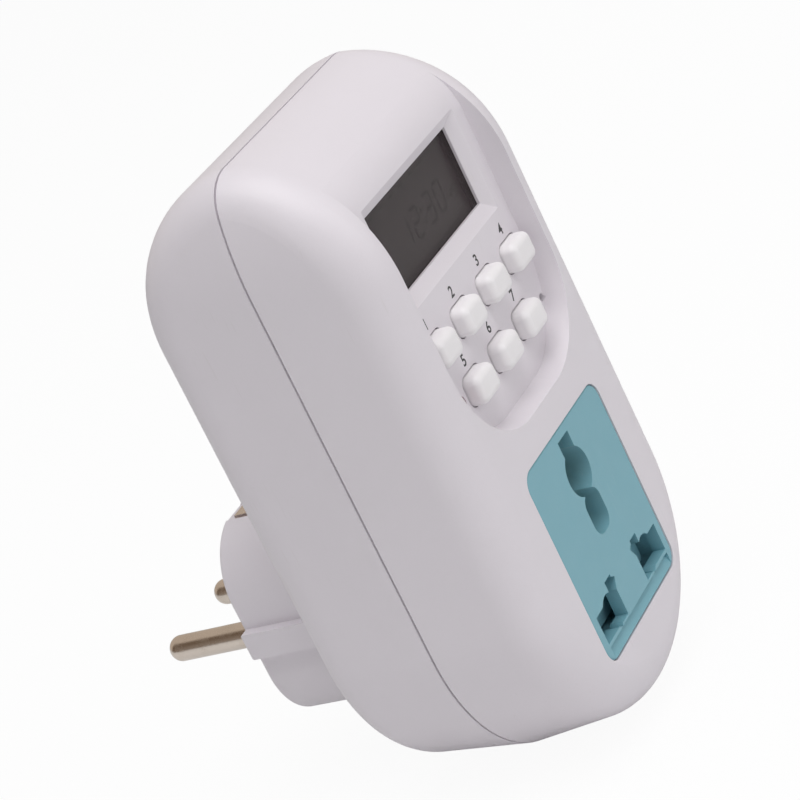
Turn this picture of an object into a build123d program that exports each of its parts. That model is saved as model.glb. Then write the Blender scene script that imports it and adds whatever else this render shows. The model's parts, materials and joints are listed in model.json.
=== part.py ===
"""Plug-in timer switch: a wall-plug programmer with a display, seven keys and a universal outlet.

Frame: the origin is the middle of the plug face between the pins, +Y goes into the wall
socket along the pins, +Z is up and -Y faces the user. All sizes are in millimetres.
"""
from build123d import *
from math import asin, atan2, cos, radians, sin, sqrt, tan
import os

# ----------------------------------------------------------------------------------------
# Driving dimensions
# ----------------------------------------------------------------------------------------
# Case: a shell with a rolled top and a round lower end about the plug.
case_width = 63.6
case_top_z = 87.4
front_reach = 68.6          # plug face to the front of the case
parting_reach = 46.6        # plug face to the joint between the covers
back_reach = 22.2           # plug face to the back of the case
case_draft = 3.0            # degrees, on both covers
top_roll_front = 25.5       # radius of the roll from the joint to the front, and to the back
top_roll_back = 25.4
roll_margin = 2.0           # blank above the joint that the rolls are cut from
shoulder_radius = 45.0      # the sides lean in above the shoulders
shoulder_drop = 19.4                # top to the shoulders
end_joint_z = -0.6                  # centre of the round lower end: at the joint,
end_front_z = 1.3                   # at the front
end_back_z = -0.3                   # and at the back
edge_round = 8.0            # side edges, lower edge and top corners of both covers
wall = 2.2
lip_height = 1.6
lip_thickness = 1.2
lip_clearance = 0.1
seam_gap = 0.4              # shadow line at the joint
seam_depth = 0.6

# Case screws, from the back into the front cover.
case_screw_top = (13.8, 7.4)        # in from the side, below the top
case_screw_low = (7.5, -3.0)        # in from the side, z
case_screw_radius = 1.25
case_screw_head_radius = 2.7
case_screw_head_height = 2.0
case_screw_grip = 14.0              # length below the head
cross_recess = (3.2, 0.65)          # length and width of each bar
case_screw_seat = 8.6               # solid left between head and joint
screw_bore_clearance = 0.35
boss_wall = 2.1
tube_wall = 0.6

# Plug: round-cornered boss with a rib on each side, and two round pins.
pin_radius = 2.4
pin_root_radius = 2.2               # inside the boss
pin_neck = 0.3                      # face to the full thickness
pin_recess = (2.7, 0.4)             # radius and depth of the recess round each pin
pin_length = 19.0
pin_tip_round = 2.3
pin_spacing = 19.0
pin_collar_radius = 3.0
pin_collar_length = 2.0
pin_collar_depth = 5.0              # face to collar
pin_tail_radius = 1.6
pin_tail_length = 3.4
plug_width = 25.6
plug_height = 40.0
plug_corner = 12.6
plug_rib_width = 5.2
plug_rib_proud = 2.0
plug_face_thickness = 9.0
plug_side_wall = 0.9
plug_end_wall = 2.5
plug_edge_round = 0.8
plug_flange_width = 33.0
plug_flange_height = 43.4
plug_flange_corner = 9.6
plug_flange_thickness = 2.0
plug_clearance = 0.15
stake_spot = (12.3, 16.7)
stake_radius = 1.2
stake_head_radius = 1.9
stake_head_height = 0.8
stake_clearance = 0.05

# Earth contacts on the top and the bottom of the plug.
earth_groove_width = 6.4
earth_groove_depth = 0.9
earth_strip_width = 5.0
earth_strip_start = 2.0             # face to the start of the strip
earth_bridge_depth = 14.0           # face to the bridge inside the plug
strip_thickness = 0.8
groove_clearance = 0.1

# Control panel, let into the front of the case.
panel_depth = 3.9
panel_thickness = 2.0
panel_side = 9.1                    # case side to the recess
panel_flare = 0.5                   # how much wider the recess is at the case front
panel_bottom_z = 28.0
panel_bottom_flare = 1.3
panel_corner = 16.5
panel_blend = 12.0                  # soft run-out of the recess floor into the top roll
panel_crease = 0.015                # how far the run-out stands out of the floor and the roll
panel_rim = 2.0                     # thickness of the wall round the recess
window_side = 5.5                   # side of the recess to the window
window_height = 14.6
window_z = 63.9
bezel_depth = 1.5
bezel_side = 2.4
bezel_below = 2.4
bezel_above = 2.1

# Keys: four above, three below and half a pitch across.
key_side = 2.05                     # side of the recess to the outer keys
key_upper_z = 46.5
key_lower_z = 36.65
key_width = 7.2
key_height = 5.2
key_corner = 1.5
key_proud = 3.0
key_round = 1.4
key_clearance = 0.25
key_flange = 0.8
key_flange_thickness = 0.9
key_flange_gap = 0.25
key_stem_radius = 1.6
key_travel = 1.2

# Small parts in the panel.
led_place = (5.2, 36.4)              # in from the side of the recess, z
led_radius = 1.3
led_recess = 0.1
led_flange_radius = 1.5
led_flange_thickness = 1.0
led_dome_round = 1.15
led_clearance = 0.15
reset_place = (2.8, 36.4)            # in from the side of the recess, z
reset_hole_radius = 0.7
reset_body = 3.6
reset_body_height = 2.2
reset_stem_radius = 1.0
reset_stem_height = 2.2
reset_travel = 0.25

# Display stack behind the panel.
lens_thickness = 1.0
lens_overlap = 2.2
glass_margin = (1.5, 2.1)           # glass past the window, sideways and up and down
glass_thickness = 2.0
holder_lip = 0.5
holder_overlap = 1.4
holder_wall = 1.9
glass_clearance = 0.2
zebra_height = 2.0
zebra_end = 1.4                     # strip end to the end of the glass

# Control board.
board_standoff = 5.3                # panel back to the control board
control_board_thickness = 1.2
control_board_side = 5.3            # case side to the board
control_board_bottom = 30.5
control_board_top = 76.0
control_screw = (7.8, 33.2, 72.5)   # in from the case side, lower z, upper z
small_screw_radius = 1.0
small_screw_head_radius = 1.8
small_screw_head_height = 1.3
small_screw_grip = 5.0
small_boss_radius = 2.3
mat_thickness = 0.8
mat_margin = 3.8
dome_radius = 3.0
dome_height = 1.8
dome_taper = 25.0
chip_spot = (0.0, 44.0)
chip_radius = 4.5
chip_height = 1.5
chip_round = 1.2
crystal_radius = 1.0
crystal_length = 6.0
crystal_spot = (11.0, 41.0)
cell_radius = 5.75
cell_height = 5.4
cell_round = 0.5
cell_spot = (-12.0, 63.0)
tab_thickness = 0.3
tab_width = 4.0

# Power board.
power_standoff = 6.8                # inside of the back to the power board
power_board_thickness = 1.6
power_board_side = 5.8
power_board_bottom = 24.0
power_board_top = 75.0
power_screw = (9.3, 29.5, 70.0)
power_boss_radius = 2.6
link_spot = (12.0, 52.0)
link_pitch = 2.54
link_count = 4
link_pin = 0.64
link_spacer = 2.5
link_clearance = 0.05
link_end = 0.8                      # how far the link pins stand out of the boards

# Relay on the power board.
relay_spot = (-12.5, 42.0)
relay_width = 19.4
relay_height = 15.6
relay_depth = 16.0
relay_base_thickness = 1.6
relay_cover_wall = 0.8
coil_offset = -2.0                  # coil axis from the middle of the relay
coil_radius = 4.6
coil_flange_radius = 5.4
coil_flange = 0.8
coil_length = 9.2
core_radius = 2.0
core_clearance = 0.1
pole_height = 0.6
yoke_thickness = 1.0
yoke_width = 9.0
yoke_gap = 0.4
armature_gap = 0.8
armature_thickness = 0.8
armature_overhang = 1.0             # past the pole
armature_angle = 5.0                # degrees, from released to pulled in
blade_thickness = 0.3
blade_width = 4.4
blade_setback = 1.0                 # blade behind the hinge edge of the armature
contact_radius = 1.2
contact_height = 0.7
contact_offset = 6.3                # contacts from the middle of the relay
terminal_offset = 7.8
terminal_thickness = 0.6
terminal_width = 4.0
terminal_end = 0.8
terminal_clearance = 0.8            # relay cover to the nearest terminal
contact_air = 0.12

# Other power parts, standing on the board: x, z of the middle.
dropper_spot = (12.0, 62.0)
dropper_size = (18.0, 8.5, 14.5)    # width, height, depth
dropper_round = 0.7
filter_spot = (16.5, 44.0)
filter_radius = 4.0
filter_depth = 12.0
filter_round = 0.5
varistor_spot = (-15.0, 60.0)
varistor_radius = 5.2
varistor_thickness = 4.0
varistor_round = 0.9
lead_radius = 0.4
lead_length = 0.8
resistor_spot = (15.5, 31.5)
resistor_pitch = 3.4
resistor_count = 3
resistor_radius = 1.2
resistor_length = 6.4
diode_spot = (4.0, 28.0)
diode_pitch = 3.4
diode_count = 4
diode_radius = 1.3
diode_length = 4.4

# Outlet insert.
insert_setback = 0.1
insert_width = 34.0
insert_low_z = -16.0
insert_high_z = 20.85
insert_corner = 3.0
insert_thickness = 2.5
insert_edge_round = 0.35
insert_clearance = 0.15
insert_flange = 0.9
insert_flange_thickness = 1.4
skirt_wall = 1.5
skirt_end = 10.5                    # front of the insert to the end of its skirt
ramp_start_z = -13.4                # sloped strip along the lower edge
ramp_end_z = -15.6
ramp_depth = 0.9
ramp_width = 30.0
earth_collar_wall = 1.2             # collar behind the earth hole
earth_collar_length = 3.6

# Hole outlines of the outlet.
earth_slot = (4.6, 8.1, 15.05)      # width, height, middle z
earth_lobe = (4.4, 12.3)            # radius, middle z
earth_lobe_low = (6.2, 7.8, 4.5)    # width, height, middle z
earth_lobe_corner = 2.4
flat_slot = (2.7, 8.0, 6.65, -9.0)  # width, height, x, z
angled_slot = (2.2, 8.6, 7.3, -9.3)
angled_slot_tilt = 30.0
round_hole = (2.9, 9.5, -9.4)       # radius, x, z
wide_slot = (7.3, 5.3, 11.45, -10.15)

# Shutter and its springs.
shutter_gap = 2.0                   # insert plate to shutter
shutter_thickness = 1.6
shutter_inner_x = 5.0
shutter_outer_x = 15.2
shutter_low_clearance = 0.3
shutter_top_z = -4.3
shutter_bridge_top_z = -9.8
shutter_travel = 8.8
shutter_ramp = 1.0
spring_x = 10.2
spring_radius = 0.82
spring_wire_radius = 0.2
spring_turns = 7
spring_stop_z = 14.0
spring_stop = (5.0, 1.4)            # width, height
spring_end_gap = 0.05

# Contacts behind the shutter.
carrier_gap = 0.3                   # shutter to contact carrier
carrier_depth = 16.1
carrier_clearance = 0.2
carrier_flange_thickness = 2.0
carrier_ear = (4.5, 10.0)           # ear holes: out from the insert's side, z
carrier_ear_radius = 3.0
live_pocket = (5.0, 15.1, -13.3, -4.7)      # x low, x high, z low, z high
earth_pocket = (-4.9, 4.9, 1.0, 17.4)
contact_thickness = 0.6
contact_mouth = 1.2                 # pocket front to the contact's mouth
contact_pinch = 3.6
contact_open = 6.6
contact_margin = 0.8
contact_lug = 0.6                   # overlap of the rear plate on the carrier
earth_contact_open = 8.0
earth_contact_pinch = 3.6

# Busbars.
bus_width = 4.6
neutral_run_z = -4.4
live_run_z = 4.4
earth_run_z = 11.4
bus_slot_clearance = 0.1
live_rise = 3.8                     # inside of the back to the live riser
live_tab_z = 28.6
switched_tab_z = 26.6
switched_rise = 5.2                 # power board front to the switched riser

# ----------------------------------------------------------------------------------------
# Sizes and levels that several pieces share
# ----------------------------------------------------------------------------------------
half_case = case_width / 2
shoulder_z = case_top_z - shoulder_drop
panel_half_width = half_case - panel_side
window_width = 2 * (panel_half_width - window_side)
key_pitch = (panel_half_width - key_side - key_width / 2) / 1.5
led_spot = (led_place[0] - panel_half_width, led_place[1])
reset_spot = (panel_half_width - reset_place[0], reset_place[1])
glass_width = window_width + 2 * glass_margin[0]
glass_height = window_height + 2 * glass_margin[1]
front_y = -front_reach
parting_y = -parting_reach
back_y = -back_reach
front_depth = front_reach - parting_reach
back_depth = parting_reach - back_reach
front_inner_y = front_y + wall
back_inner_y = back_y - wall
panel_y = front_y + panel_depth
panel_back_y = panel_y + panel_thickness
lens_back_y = panel_back_y + lens_thickness
glass_front_y = lens_back_y + holder_lip
glass_back_y = glass_front_y + glass_thickness
control_front_y = panel_back_y + board_standoff
control_back_y = control_front_y + control_board_thickness
mat_front_y = control_front_y - mat_thickness
dome_top_y = mat_front_y - dome_height
power_back_y = back_inner_y - power_standoff
power_front_y = power_back_y - power_board_thickness
insert_y = front_y + insert_setback
insert_back_y = insert_y + insert_thickness
skirt_end_y = insert_y + skirt_end
shutter_front_y = insert_back_y + shutter_gap
shutter_back_y = shutter_front_y + shutter_thickness
carrier_front_y = shutter_back_y + carrier_gap
carrier_back_y = carrier_front_y + carrier_depth
insert_mid_z = (insert_low_z + insert_high_z) / 2
insert_height = insert_high_z - insert_low_z
key_spots = [(k * key_pitch, key_upper_z) for k in (-1.5, -0.5, 0.5, 1.5)]
key_spots += [(k * key_pitch, key_lower_z) for k in (-1, 0, 1)]
key_names = [
    "program_button", "weekday_button", "hour_button", "minute_button",
    "mode_button", "clock_button", "recall_button",
]
top_screw_z = case_top_z - case_screw_top[1]
case_screw_spots = [(s * (half_case - case_screw_top[0]), top_screw_z) for s in (-1, 1)]
case_screw_spots += [(s * (half_case - case_screw_low[0]), case_screw_low[1]) for s in (-1, 1)]
control_screw_x = half_case - control_screw[0]
control_screw_spots = [(s * control_screw_x, z) for z in control_screw[1:] for s in (-1, 1)]
power_screw_x = half_case - power_screw[0]
power_screw_spots = [(s * power_screw_x, z) for z in power_screw[1:] for s in (-1, 1)]
stake_spots = [(sx * stake_spot[0], sz * stake_spot[1]) for sx in (-1, 1) for sz in (-1, 1)]
carrier_ear_x = insert_width / 2 + carrier_ear[0]
carrier_ear_spots = [(s * carrier_ear_x, carrier_ear[1]) for s in (-1, 1)]
finished = []


# ----------------------------------------------------------------------------------------
# Helpers
# ----------------------------------------------------------------------------------------
def facing_user(y):
    """Sketch plane across the case at y: local x is X, local y is Z, and it extrudes to -Y."""
    return Plane.XZ.offset(-y)


def facing_wall(y):
    """The same plane seen from behind: it extrudes to +Y, with local x along -X."""
    return Plane(origin=(0, y, 0), x_dir=(-1, 0, 0), z_dir=(0, 1, 0))


def block(x, y, z, mode=Mode.ADD):
    """Box given by its low and high x, y and z."""
    middle = tuple((low + high) / 2 for low, high in (x, y, z))
    with Locations(middle):
        Box(x[1] - x[0], y[1] - y[0], z[1] - z[0], mode=mode)


def rod(x, z, y_from, y_to, radius, mode=Mode.ADD):
    """Round bar along Y at x, z."""
    with Locations(Location((x, (y_from + y_to) / 2, z), (90, 0, 0))):
        Cylinder(radius, abs(y_to - y_from), mode=mode)


def around(middle, size):
    """Low and high of a length centred on middle."""
    return (middle - size / 2, middle + size / 2)


def finish_part(builder, name):
    """Label a piece and put it on the list of pieces to write."""
    builder.part.label = name
    finished.append(builder.part)


def case_outline(inset, blank=0, end_z=end_joint_z):
    """Front view of the case, moved in by inset; blank is added above the top."""
    half = half_case - inset
    top = case_top_z + blank - inset
    bend = shoulder_radius - inset
    middle_x = half_case - shoulder_radius
    turn = asin((top - shoulder_z) / bend)
    top_x = middle_x + bend * cos(turn)
    bend_x = middle_x + bend * cos(turn / 2)
    bend_z = shoulder_z + bend * sin(turn / 2)
    with BuildSketch() as outline:
        with BuildLine():
            Line((-top_x, top), (top_x, top))
            ThreePointArc((top_x, top), (bend_x, bend_z), (half, shoulder_z))
            Line((half, shoulder_z), (half, end_z))
            ThreePointArc((half, end_z), (0, end_z - half), (-half, end_z))
            Line((-half, end_z), (-half, shoulder_z))
            ThreePointArc((-half, shoulder_z), (-bend_x, bend_z), (-top_x, top))
        make_face()
    return outline.sketch


def joint_outline(inset):
    """The outline at the joint, where the top corners are rolled like the side edges."""
    with BuildSketch() as outline:
        add(case_outline(inset))
        fillet(outline.vertices().group_by(Axis.Y)[-1], edge_round - inset)
    return outline.sketch


def roll_cut(side, depth, roll, inset):
    """Side view of what the top roll takes off one cover: side is -1 in front, 1 behind."""
    middle_y = parting_y + side * (depth - roll)
    middle_z = case_top_z - sqrt(roll ** 2 - (depth - roll) ** 2)
    radius = roll - inset
    face_y = parting_y + side * (depth - inset)
    joint_z = middle_z + sqrt(radius ** 2 - (depth - roll) ** 2)
    turn = atan2(joint_z - middle_z, roll - depth)
    bend = (middle_y + side * radius * cos(turn / 2), middle_z + radius * sin(turn / 2))
    far_y = face_y + side * depth
    far_z = case_top_z + depth
    with BuildSketch() as cut:
        with BuildLine():
            ThreePointArc((face_y, middle_z), bend, (parting_y, joint_z))
            Polyline((parting_y, joint_z), (parting_y, far_z), (far_y, far_z),
                     (far_y, middle_z), (face_y, middle_z))
        make_face()
    return cut.sketch


def case_form(side, inset):
    """Solid form of one cover, moved in by inset: side is -1 in front, 1 behind."""
    plane = facing_user(parting_y) if side < 0 else facing_wall(parting_y)
    depth = front_depth if side < 0 else back_depth
    roll = top_roll_front if side < 0 else top_roll_back
    end_z = end_front_z if side < 0 else end_back_z
    height = depth - inset
    face_inset = inset + height * tan(radians(case_draft))
    face_end_z = end_joint_z + (end_z - end_joint_z) * height / depth
    with BuildPart() as form:
        with BuildSketch(plane):
            add(case_outline(inset, roll_margin))
        with BuildSketch(plane.offset(height)):
            add(case_outline(face_inset, roll_margin, face_end_z))
        loft(ruled=True)
        with BuildSketch(Plane.YZ):
            add(roll_cut(side, depth, roll, inset))
        extrude(amount=case_width, both=True, mode=Mode.SUBTRACT)
        face = form.faces().sort_by(lambda f: side * f.center().Y)[-1]
        fillet(face.edges().sort_by(Axis.Z)[0], edge_round - inset)
    return form.part


def panel_outline(spread):
    """Outline of the panel recess: spread is 0 at its floor and 1 at the case front."""
    half = panel_half_width + spread * panel_flare
    low = panel_bottom_z - spread * panel_bottom_flare
    high = case_top_z
    corner = panel_corner + spread * panel_flare
    with BuildSketch() as outline:
        with BuildLine():
            Polyline((-half, low), (-half, high), (half, high), (half, low), close=True)
        make_face()
        fillet(outline.vertices().group_by(Axis.Y)[0], corner)
    return outline.sketch


def runout_cut():
    """Side view of what the run-out takes off between the recess floor and the top roll."""
    roll_y = front_y + top_roll_front
    roll_z = case_top_z - sqrt(top_roll_front ** 2 - (front_depth - top_roll_front) ** 2)
    middle_y = panel_y + panel_blend - panel_crease
    reach = top_roll_front - panel_blend + panel_crease
    middle_z = roll_z + sqrt(reach ** 2 - (roll_y - middle_y) ** 2)
    turn = atan2(middle_z - roll_z, roll_y - middle_y)
    bend = (middle_y - panel_blend * cos(turn / 2), middle_z + panel_blend * sin(turn / 2))
    end_y = middle_y - panel_blend * cos(turn)
    end_z = middle_z + panel_blend * sin(turn)
    far_y = front_y - panel_depth
    far_z = end_z + (end_y - far_y) * tan(turn)
    with BuildSketch() as cut:
        with BuildLine():
            ThreePointArc((panel_y - panel_crease, middle_z), bend, (end_y, end_z))
            Polyline((end_y, end_z), (far_y, far_z), (far_y, middle_z),
                     (panel_y - panel_crease, middle_z))
        make_face()
    return cut.sketch


def insert_outline(grow):
    """Rounded outline of the outlet insert, grown by grow."""
    with BuildSketch() as outline:
        with Locations((0, insert_mid_z)):
            RectangleRounded(insert_width + 2 * grow, insert_height + 2 * grow,
                             insert_corner + grow)
    return outline.sketch


def earth_hole_outline(grow):
    """Outline of the earth hole, grown by grow: a round middle with a slot above and below."""
    slot_width, slot_height, slot_z = earth_slot
    lobe_radius, lobe_z = earth_lobe
    low_width, low_height, low_z = earth_lobe_low
    with BuildSketch() as outline:
        with Locations((0, slot_z)):
            Rectangle(slot_width + 2 * grow, slot_height + 2 * grow)
        with Locations((0, lobe_z)):
            Circle(lobe_radius + grow)
        with Locations((0, low_z)):
            RectangleRounded(low_width + 2 * grow, low_height + 2 * grow,
                             earth_lobe_corner + grow)
    return outline.sketch


def plug_outline(grow):
    """Outline of the plug boss with its two side ribs, grown by grow."""
    with BuildSketch() as outline:
        RectangleRounded(plug_width + 2 * grow, plug_height + 2 * grow, plug_corner + grow)
        Rectangle(plug_width + 2 * (plug_rib_proud + grow), plug_rib_width + 2 * grow)
    return outline.sketch


# ----------------------------------------------------------------------------------------
# Covers
# ----------------------------------------------------------------------------------------
front_outer = case_form(-1, 0)
front_inner = case_form(-1, wall)
back_outer = case_form(1, 0)
back_inner = case_form(1, wall)
lip_inset = wall / 2 + lip_clearance
boss_radius = case_screw_radius + boss_wall
tube_radius = case_screw_head_radius + screw_bore_clearance + tube_wall
seat_y = parting_y + case_screw_seat
screw_tip_y = seat_y - case_screw_grip
case_boss_y = front_inner_y + wall / 2
control_boss_y = panel_back_y - panel_thickness / 2

with BuildPart() as front_cover:
    add(front_outer)
    add(front_inner, mode=Mode.SUBTRACT)
    # Thicker pad that the panel recess is let into.
    with BuildSketch(facing_user(panel_back_y)):
        add(panel_outline(1))
        offset(amount=panel_rim)
    extrude(amount=front_depth)
    # Bosses for the case screws, the control board and the contact carrier.
    for x, z in case_screw_spots:
        rod(x, z, case_boss_y, parting_y, boss_radius)
    for x, z in control_screw_spots:
        rod(x, z, control_boss_y, control_front_y, small_boss_radius)
    for x, z in carrier_ear_spots:
        rod(x, z, front_inner_y - wall / 2, skirt_end_y, small_boss_radius)
    add(front_outer, mode=Mode.INTERSECT)
    for x, z in case_screw_spots:
        rod(x, z, screw_tip_y, parting_y, case_screw_radius, mode=Mode.SUBTRACT)
    for x, z in control_screw_spots:
        rod(x, z, control_back_y - small_screw_grip, control_front_y, small_screw_radius,
            mode=Mode.SUBTRACT)
    for x, z in carrier_ear_spots:
        rod(x, z, skirt_end_y + carrier_flange_thickness - small_screw_grip, skirt_end_y,
            small_screw_radius, mode=Mode.SUBTRACT)
    # Panel recess; its floor runs out softly into the rolled top of the case.
    with BuildSketch(facing_user(panel_y)):
        add(panel_outline(0))
    with BuildSketch(facing_user(front_y - panel_depth)):
        add(panel_outline(2))
    loft(ruled=True, mode=Mode.SUBTRACT)
    with BuildSketch(Plane.YZ):
        add(runout_cut())
    extrude(amount=panel_half_width, both=True, mode=Mode.SUBTRACT)
    # Display window with a sloped bezel.
    bezel_height = window_height + bezel_below + bezel_above
    with BuildSketch(facing_user(panel_y)):
        with Locations((0, window_z + (bezel_above - bezel_below) / 2)):
            Rectangle(window_width + 2 * bezel_side, bezel_height)
    with BuildSketch(facing_user(panel_y + bezel_depth)):
        with Locations((0, window_z)):
            Rectangle(window_width, window_height)
    loft(ruled=True, mode=Mode.SUBTRACT)
    with BuildSketch(facing_user(panel_back_y)):
        with Locations((0, window_z)):
            Rectangle(window_width, window_height)
        with Locations(*key_spots):
            RectangleRounded(key_width + 2 * key_clearance, key_height + 2 * key_clearance,
                             key_corner + key_clearance)
        with Locations(led_spot):
            Circle(led_radius + led_clearance)
        with Locations(reset_spot):
            Circle(reset_hole_radius)
    extrude(amount=panel_depth, mode=Mode.SUBTRACT)
    # Opening for the outlet insert.
    with BuildSketch(facing_user(front_inner_y)):
        add(insert_outline(insert_clearance))
    extrude(amount=wall, mode=Mode.SUBTRACT)
    # Rebate for the lip of the rear cover, and the shadow line outside.
    with BuildSketch(facing_user(parting_y)):
        add(joint_outline(lip_inset - lip_clearance))
        add(joint_outline(lip_inset + lip_thickness + lip_clearance), mode=Mode.SUBTRACT)
    extrude(amount=lip_height + lip_clearance, mode=Mode.SUBTRACT)
    with BuildSketch(facing_user(parting_y)):
        add(case_outline(-seam_depth))
        add(joint_outline(seam_depth), mode=Mode.SUBTRACT)
    extrude(amount=seam_gap, mode=Mode.SUBTRACT)
finish_part(front_cover, "front_cover")

with BuildPart() as rear_cover:
    add(back_outer)
    add(back_inner, mode=Mode.SUBTRACT)
    # Screw tubes, power board bosses and the stakes that hold the plug.
    for x, z in case_screw_spots:
        rod(x, z, parting_y, back_y, tube_radius)
    for x, z in power_screw_spots:
        rod(x, z, power_back_y, back_inner_y + wall / 2, power_boss_radius)
    add(back_outer, mode=Mode.INTERSECT)
    for x, z in case_screw_spots:
        rod(x, z, seat_y, back_y, case_screw_head_radius + screw_bore_clearance,
            mode=Mode.SUBTRACT)
        rod(x, z, parting_y, seat_y, case_screw_radius + screw_bore_clearance,
            mode=Mode.SUBTRACT)
    for x, z in power_screw_spots:
        rod(x, z, power_back_y, power_front_y + small_screw_grip, small_screw_radius,
            mode=Mode.SUBTRACT)
    stake_tip_y = back_inner_y - plug_flange_thickness
    for x, z in stake_spots:
        rod(x, z, stake_tip_y, back_inner_y, stake_radius)
        rod(x, z, stake_tip_y - stake_head_height, stake_tip_y, stake_head_radius)
    # Opening for the plug.
    with BuildSketch(facing_user(back_y)):
        add(plug_outline(plug_clearance))
    extrude(amount=wall, mode=Mode.SUBTRACT)
    # Lip that locates the front cover.
    with BuildSketch(facing_user(parting_y)):
        add(joint_outline(lip_inset))
        add(joint_outline(lip_inset + lip_thickness), mode=Mode.SUBTRACT)
    extrude(amount=lip_height)
finish_part(rear_cover, "rear_cover")

with BuildPart() as case_screws:
    for x, z in case_screw_spots:
        rod(x, z, screw_tip_y, seat_y, case_screw_radius)
        rod(x, z, seat_y, seat_y + case_screw_head_height, case_screw_head_radius)
    # Cross recess in each head.
    head_y = seat_y + case_screw_head_height
    with BuildSketch(facing_user(head_y)):
        with Locations(*case_screw_spots):
            Rectangle(*cross_recess)
            Rectangle(*reversed(cross_recess))
    extrude(amount=case_screw_head_height / 2, mode=Mode.SUBTRACT)
finish_part(case_screws, "case_screws")

# ----------------------------------------------------------------------------------------
# Plug
# ----------------------------------------------------------------------------------------
pin_x = pin_spacing / 2
pin_root_y = -plug_face_thickness
collar_y = -pin_collar_depth
cavity_half_x = plug_width / 2 - plug_side_wall
cavity_half_z = plug_height / 2 - plug_end_wall
flange_back_y = back_inner_y
flange_front_y = back_inner_y - plug_flange_thickness
bridge_y = -earth_bridge_depth
groove_z = plug_height / 2 - earth_groove_depth


def pin_piece(x):
    """One plug pin: round-ended shank, root and collar moulded in, and a riveted tail."""
    with BuildPart() as pin:
        rod(x, 0, pin_neck, pin_length, pin_radius)
        tip = pin.edges().filter_by(GeomType.CIRCLE).sort_by(Axis.Y)[-1]
        fillet(tip, pin_tip_round)
        rod(x, 0, pin_root_y, pin_neck, pin_root_radius)
        rod(x, 0, collar_y - pin_collar_length, collar_y, pin_collar_radius)
        rod(x, 0, pin_root_y - pin_tail_length, pin_root_y, pin_tail_radius)
    return pin


left_pin = pin_piece(-pin_x)
right_pin = pin_piece(pin_x)
finish_part(left_pin, "left_pin")
finish_part(right_pin, "right_pin")

with BuildPart() as plug_base:
    with BuildSketch(facing_user(0)):
        add(plug_outline(0))
    extrude(amount=-flange_back_y)
    fillet(plug_base.faces().sort_by(Axis.Y)[-1].edges(), plug_edge_round)
    with BuildSketch(facing_user(flange_back_y)):
        RectangleRounded(plug_flange_width, plug_flange_height, plug_flange_corner)
    extrude(amount=plug_flange_thickness)
    with BuildSketch(facing_user(pin_root_y)):
        RectangleRounded(2 * cavity_half_x, 2 * cavity_half_z, plug_corner - plug_end_wall)
    extrude(amount=pin_root_y - flange_front_y, mode=Mode.SUBTRACT)
    for x in (-pin_x, pin_x):
        rod(x, 0, pin_root_y, 0, pin_root_radius, mode=Mode.SUBTRACT)
        rod(x, 0, -pin_recess[1], 0, pin_recess[0], mode=Mode.SUBTRACT)
        rod(x, 0, collar_y - pin_collar_length, collar_y, pin_collar_radius, mode=Mode.SUBTRACT)
    for x, z in stake_spots:
        rod(x, z, flange_front_y, flange_back_y, stake_radius + stake_clearance,
            mode=Mode.SUBTRACT)
    # Grooves for the earth strips and the slots where the bridge passes through.
    half_groove = earth_groove_width / 2
    half_slot = earth_strip_width / 2 + groove_clearance
    for side in (-1, 1):
        groove = sorted((side * groove_z, side * plug_height / 2))
        slot = sorted((side * cavity_half_z, side * groove_z))
        block((-half_groove, half_groove), (bridge_y - strip_thickness, 0), groove,
              mode=Mode.SUBTRACT)
        block((-half_slot, half_slot), (bridge_y - strip_thickness, bridge_y), slot,
              mode=Mode.SUBTRACT)
finish_part(plug_base, "plug_base")

with BuildPart() as earth_side_contacts:
    half_strip = earth_strip_width / 2
    strip_top_z = groove_z + strip_thickness
    bridge = (bridge_y - strip_thickness, bridge_y)
    block((-half_strip, half_strip), bridge, (-strip_top_z, strip_top_z))
    for side in (-1, 1):
        strip = sorted((side * groove_z, side * strip_top_z))
        block((-half_strip, half_strip), (bridge_y, -earth_strip_start), strip)
finish_part(earth_side_contacts, "earth_side_contacts")

# ----------------------------------------------------------------------------------------
# Control panel: lens, keys, indicator and reset switch
# ----------------------------------------------------------------------------------------
with BuildPart() as display_window:
    lens = (window_width / 2 + lens_overlap, window_height / 2 + lens_overlap)
    block((-lens[0], lens[0]), (panel_back_y, lens_back_y), around(window_z, 2 * lens[1]))
finish_part(display_window, "display_window")

key_tip_y = panel_y - key_proud
key_flange_y = panel_back_y + key_flange_gap
key_back_y = key_flange_y + key_flange_thickness
for key_name, (x, z) in zip(key_names, key_spots):
    with BuildPart() as key:
        with BuildSketch(facing_user(key_flange_y)):
            with Locations((x, z)):
                RectangleRounded(key_width, key_height, key_corner)
        extrude(amount=key_flange_y - key_tip_y)
        fillet(key.faces().sort_by(Axis.Y)[0].edges(), key_round)
        with BuildSketch(facing_user(key_back_y)):
            with Locations((x, z)):
                RectangleRounded(key_width + 2 * key_flange, key_height + 2 * key_flange,
                                 key_corner)
        extrude(amount=key_flange_thickness)
        rod(x, z, key_back_y, dome_top_y, key_stem_radius)
    finish_part(key, key_name)

with BuildPart() as keypad_mat:
    upper_width = 3 * key_pitch + 2 * mat_margin
    lower_width = 2 * key_pitch + 2 * mat_margin
    with BuildSketch(facing_user(control_front_y)):
        with Locations((0, key_upper_z)):
            Rectangle(upper_width, 2 * mat_margin)
        with Locations((0, (key_upper_z + key_lower_z - mat_margin) / 2)):
            Rectangle(lower_width, key_upper_z - key_lower_z + mat_margin)
    extrude(amount=mat_thickness)
    with BuildSketch(facing_user(mat_front_y)):
        with Locations(*key_spots):
            Circle(dome_radius)
    extrude(amount=dome_height, taper=dome_taper)
finish_part(keypad_mat, "keypad_mat")

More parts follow.
